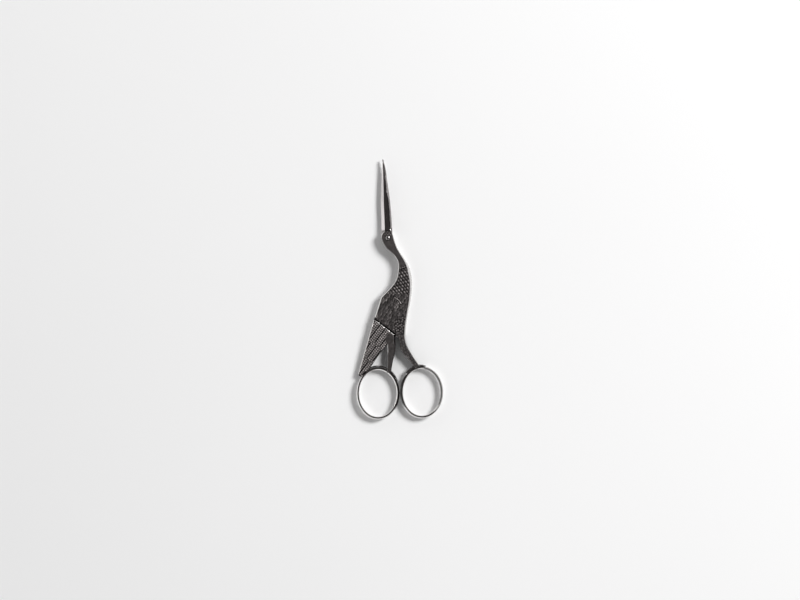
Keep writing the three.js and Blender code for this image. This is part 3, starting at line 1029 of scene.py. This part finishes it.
def blade_section(t, back, wide):
    """Section of a blade: distance from its back, height above its inner face, and shade.
    The upper blade has a painted dark reflection before its ground edge, and painted shade at the root of its
    back.
    The lower one's back is broken instead of sharp."""
    upper = back < 0
    y = BEAK_LENGTH * t
    thick = np.interp(y, (HEAD_TOP_Y, BEAK_LENGTH), BLADE_THICK)
    upper_back, _ = blade_plan(t, -1)
    slope = min(np.interp(t, BLADE_AT, BACK_SLOPE), 0.45 * wide)
    flat_end = np.interp(t, BLADE_AT, FLAT_END)
    flat = min(max(flat_end - upper_back, slope + 0.2 * wide), 0.97 * wide)
    ground = wide - flat
    step = min(0.1, 0.4 * ground)
    fall = thick - 0.24 * (ground - step)
    strip = min(0.05 + 0.35 * smooth(0.6, 0.45, t), 0.3 * (flat - slope))
    # Painted dark reflection on the upper blade's flat before its ground edge, and painted shade at the root
    # of its back
    dark_reflection = 0.6 * smooth(0.6, 0.45, t) * upper
    root = 0.6 * smooth(3.7, 3.1, y) * upper
    broken = 0.0 if upper else min(0.55, 0.2 * wide)
    return [
        (0, max(broken * 0.75, 0.12), root), (slope, thick, root), (flat - strip, thick, 0),
        (flat - 0.9 * strip, thick, dark_reflection), (flat, thick, dark_reflection), (flat + 0.2 * (ground - step), thick, 0),
        (wide - step, fall, 0), (wide, 0.1, 0), (wide, 0, 0), (broken + 0.01, 0, 0),
    ]


def blade(name, back, looks):
    """Blade, back to the left (-1) or right (1): flat inside, sloping to its back and ground to its edge."""
    hidden = 0.03
    start = 0.06
    count = 120
    shares = np.arange(count) / (count - 1)
    rows, marks = [], []
    for t in [hidden, start, *shares[shares > start]]:
        x_back, x_edge = blade_plan(t, back)
        wide = max(abs(x_edge - x_back), 0.4 * min(1, 40 * (1 - t)) + 0.12)
        section = []
        for u, w, mark in blade_section(t, back, wide):
            z = UPPER_INNER + w if back < 0 else LOWER_INNER - w
            section.append((x_back - back * u, BEAK_LENGTH * t, z))
            marks.append((1, 1, mark))
        rows.append(section)
    return sweep(name, rows, looks, BRUSHED, closed=False, relief=np.array(marks, float))


# Round cutters and the screw

# Height that is clear of the scissors
CLEAR_TOP = TOTAL + 1


def turned_solid(name, profile, x, y, looks, look, count):
    """Solid turned about an upright axis, from pairs of radius and height."""
    rows = []
    for radius, z in profile:
        rows.append([(x + radius * math.cos(a), y + radius * math.sin(a), z) for a in circle(count)])
    return sweep(name, rows, looks, look, closed=False)


def ball(name, looks, radius, x, y, z):
    angles = np.linspace(-0.98, 0.98, 25) * math.pi / 2
    profile = [(radius * math.cos(a), z + radius * math.sin(a)) for a in angles]
    return turned_solid(name, profile, x, y, looks, POLISHED, 48)


def bar(name, looks, radius, low, high, x=0, y=0, count=64):
    return turned_solid(name, [(radius, low), (radius, high)], x, y, looks, POLISHED, count)


def pivot_screw(looks):
    """Slotted screw: shank with a turned end, and a domed head sunk in the upper half as the bird's eye."""
    dome_radius = 1.3
    dome_centre = TOTAL + 0.44 - dome_radius
    shank = [(0.62, 0.15), (0.78, 0.24), (0.8, 0.3), (0.8, TOTAL - 0.4)]
    flange = [
        (1.21, TOTAL - 0.4), (1.25, TOTAL - 0.36), (1.25, TOTAL - 0.22),
        (1.19, TOTAL - 0.17), (1.14, TOTAL - 0.17),
    ]
    dome = [(r, dome_centre + math.sqrt(dome_radius**2 - r * r)) for r in np.linspace(1.1, 0.03, 18)]
    screw = turned_solid("screw", shank + flange + dome, 0, 0, looks, 0, 72)
    floor_z = TOTAL + 0.1
    slot_rows = []
    for y in (1.2, -1.2):
        slot_rows.append([(-0.18, y, floor_z), (0.18, y, floor_z), (0.2, y, CLEAR_TOP), (-0.2, y, CLEAR_TOP)])
    slot = sweep("slot", slot_rows, looks, closed=False)
    return joined(screw, [], [slot])


# The two halves

# Overlap of a plate with the one that it is joined to, and how far its outline is set in
OVERLAP = 0.02
SET_IN = 0.01

# Runs of both outlines up the left side to the head, and over the brow
HEAD_RUNS = [
    (HEAD_LEFT[::-1], left_rim, BACK),
    ([HEAD_LEFT[0], RIGHT_EDGE[0]], 0.0, BROW),
]


def upper_plate(looks):
    """Head, body and right leg of the upper half."""
    outline = Outline([
        (RIGHT_EDGE, right_rim, SIDE),
        (RIGHT_LEG_OUTER, outer_leg_rim, SIDE),
        ([RIGHT_LEG_OUTER[-1], RIGHT_LEG_INNER[-1]], LEG_RIM, LEG),
        (RIGHT_LEG_INNER[::-1], LEG_RIM, LEG),
        ([RIGHT_LEG_INNER[0], (PARTING[0], RUMP_Y), PARTING], 0.0, SEAM),
        ([PARTING, FLANK], 0.0, SEAM),
        *HEAD_RUNS,
    ])
    face = plate_face(upper_pattern, UPPER_INNER, 1)
    return relief_plate("upper_half_visual", outline, face, UPPER_INNER, looks, step=0.1)


def right_leg_under(looks):
    """Lower part of the right leg, which is as thick as both halves past the lower half's plate."""
    arc = lap_arc(LAP_RADIUS, (4.8, RUMP_Y), (7.72, -42.9), 20)
    right = RIGHT_LEG_OUTER[RIGHT_LEG_OUTER[:, 1] < arc[-1, 1] - 0.1]
    left = RIGHT_LEG_INNER[RIGHT_LEG_INNER[:, 1] < arc[0, 1] - 0.1]
    outline = Outline([
        (arc, 0.0, SEAM),
        (np.concatenate([arc[-1:], right]), 0.14, LEG),
        ([right[-1], left[-1]], LEG_RIM, LEG),
        (np.concatenate([left[::-1], arc[:1]]), LEG_RIM, LEG),
    ], SET_IN)
    face = plate_face(upper_pattern, UPPER_INNER, -1)
    return relief_plate("leg_under", outline, face, UPPER_INNER + OVERLAP, looks, step=0.14)


def upper_half(looks):
    others = [
        right_leg_under(looks),
        blade("upper_blade", -1, looks),
        finger_ring("upper_ring", RIGHT_RING, -1, looks),
        toe("front_toe", RIGHT_RING, looks, 98, 134, 0.46, point=0.26, growth=0.3, joints=5, swell=0.32),
        toe("hind_toe", RIGHT_RING, looks, 104, 79.5, 0.55, point=0.1, growth=0.22),
    ]
    cuts = [
        bar("heel_notch", looks, radius=0.5, low=UPPER_INNER - 0.3, high=CLEAR_TOP, x=1.3, y=3.66, count=32),
        bar("seat", looks, radius=1.33, low=TOTAL - 0.48, high=CLEAR_TOP),
        bar("hole", looks, radius=0.88, low=0.5, high=CLEAR_TOP),
    ]
    return joined(upper_plate(looks), others, cuts)


def left_leg_runs():
    """Runs of an outline round the left leg's end, up to the fork, and through it to the tail."""
    top = LEFT_LEG_OUTER[0]
    fork = [top, (top + TAIL_INNER) / 2 + (0, 0.3), TAIL_INNER]
    return [
        ([LEFT_LEG_INNER[-1], LEFT_LEG_OUTER[-1]], LEG_RIM, LEG),
        (LEFT_LEG_OUTER[::-1], shin_rim, SHIN),
        (fork, LEG_RIM, LEG),
    ]


def lower_plate(looks):
    """Head and body of the lower half, under the upper one, with the lower faces of the wing and left leg."""
    arc = lap_arc(LAP_END, (7.75, -42.5), (THIGH_X, -43.2), 24)
    right = RIGHT_EDGE[RIGHT_EDGE[:, 1] > arc[0, 1] + 0.1]
    thigh = THIGH_EDGE[THIGH_EDGE[:, 1] < arc[-1, 1]]
    outline = Outline([
        (right, right_rim, SIDE),
        (np.concatenate([right[-1:], arc, thigh[:1]]), 0.0, SEAM),
        (np.concatenate([thigh, LEFT_LEG_INNER]), LEG_RIM, LEG),
        *left_leg_runs(),
        ([TAIL_INNER, TAIL_FOOT, TAIL_OUTER], LEG_RIM, LEG),
        ([TAIL_OUTER, FLANK], wing_rim, BACK),
        *HEAD_RUNS,
    ])
    face = plate_face(lower_pattern, LOWER_INNER, -1)
    return relief_plate("lower_half_visual", outline, face, LOWER_INNER, looks, step=0.13)


def wing(looks):
    """Wing, tail, thigh and left leg, which stand on the lower plate."""
    outline = Outline([
        (THIGH_EDGE, THIGH_RIM, LEG),
        (LEFT_LEG_INNER, LEG_RIM, LEG),
        *left_leg_runs(),
        ([TAIL_INNER, TAIL_FOOT], TAIL_FOOT_RIM, LEG),
        ([TAIL_FOOT, TAIL_OUTER], TAIL_END_RIM, LEG),
        ([TAIL_OUTER, WING_TOP], wing_rim, BACK),
        ([WING_TOP, THIGH_TOP], LIP_RIM, LIP),
    ], SET_IN)
    return relief_plate("wing", outline, wing_face, LOWER_INNER - OVERLAP, looks, step=0.085)


def lower_half(looks):
    others = [
        wing(looks),
        blade("lower_blade", 1, looks),
        finger_ring("lower_ring", LEFT_RING, 1, looks),
        toe("front_toe", LEFT_RING, looks, 60, 118, 0.3, point=0.26, growth=0.42),
        toe("hind_toe", LEFT_RING, looks, 62, 28, 0.4, point=0.16, growth=0.3),
    ]
    cuts = [
        bar("hole", looks, radius=0.85, low=-1, high=TOTAL),
        ball("heel_bowl", looks, radius=0.6, x=1.5, y=3.8, z=UPPER_INNER),
    ]
    return joined(lower_plate(looks), others, cuts)


LOOKS = [engraved_metal(), polished_metal(), blade_metal()]
upper = upper_half(LOOKS)
lower = lower_half(LOOKS)
screw = pivot_screw([screw_metal()])
screw.name = "pivot_screw_visual"

for piece, body, node, slot in (
    (upper, "upper", "upper_half", "plated_steel"),
    (lower, "lower", "lower_half", "plated_steel"),
    (screw, "lower", "pivot_screw", "screw_steel"),
):
    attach(piece, body)
    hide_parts(node)


# Floor, light and camera

def floor():
    """Plain pale floor."""
    size = 6.0
    mesh = bpy.data.meshes.new("floor")
    corners = [(-size, -size, 0), (size, -size, 0), (size, size, 0), (-size, size, 0)]
    mesh.from_pydata(corners, [], [(0, 1, 2, 3)])
    material = bpy.data.materials.new("floor")
    tree = Nodes(material)
    tree.shader.inputs["Roughness"].default_value = 0.7
    tree.links.new(tree.mottled(3, 2.0, 0.905, 0.925), tree.shader.inputs["Base Color"])
    mesh.materials.append(material)
    new_object("floor", mesh)


def key_light():
    """Large soft lamp at the upper right."""
    azimuth = math.radians(31)
    elevation = math.radians(37.6)
    reach = 2.2
    data = bpy.data.lights.new("key", "AREA")
    data.shape = "DISK"
    data.size = 0.8
    data.energy = 51
    lamp = new_object("key", data)
    direction = Vector((
        math.cos(elevation) * math.cos(azimuth),
        math.cos(elevation) * math.sin(azimuth),
        math.sin(elevation),
    ))
    lamp.location = direction * reach
    lamp.rotation_euler = direction.to_track_quat("Z", "Y").to_euler()


def surroundings():
    """Studio with pale sides, darker on the right, and a dark ceiling."""
    world = bpy.data.worlds.new("studio")
    bpy.context.scene.world = world
    tree = Nodes(world)
    direction = tree.coordinates("Generated", Location=(0.5, 0.5, 0), Scale=(0.5, 0.5, 1))
    split = tree.new("ShaderNodeSeparateXYZ", Vector=direction)
    height = tree.ramp(split.outputs["Z"], [
        (0.0, 1.0), (0.2, 0.95), (0.4, 0.8), (0.6, 0.5), (0.75, 0.2), (0.9, (0.042, 0.038, 0.038)),
    ])
    side = tree.ramp(split.outputs["X"], [(0.0, 1.0), (0.5, 0.8), (1.0, 0.45)])
    background = tree.nodes["Background"]
    tree.links.new(tree.mix(height, side, mode="MULTIPLY"), background.inputs["Color"])
    background.inputs["Strength"].default_value = 1.25


def camera():
    """Camera straight above. At view_distance the picture is view_width wide."""
    view_distance = 0.9
    view_width = 0.3505
    data = bpy.data.cameras.new("camera")
    data.sensor_width = 36
    data.lens = data.sensor_width * view_distance / view_width
    obj = new_object("camera", data)
    obj.location = (0.00009, -0.00478, 0.902)
    bpy.context.scene.camera = obj


floor()
key_light()
surroundings()
camera()
bpy.context.scene.view_settings.view_transform = "Standard"
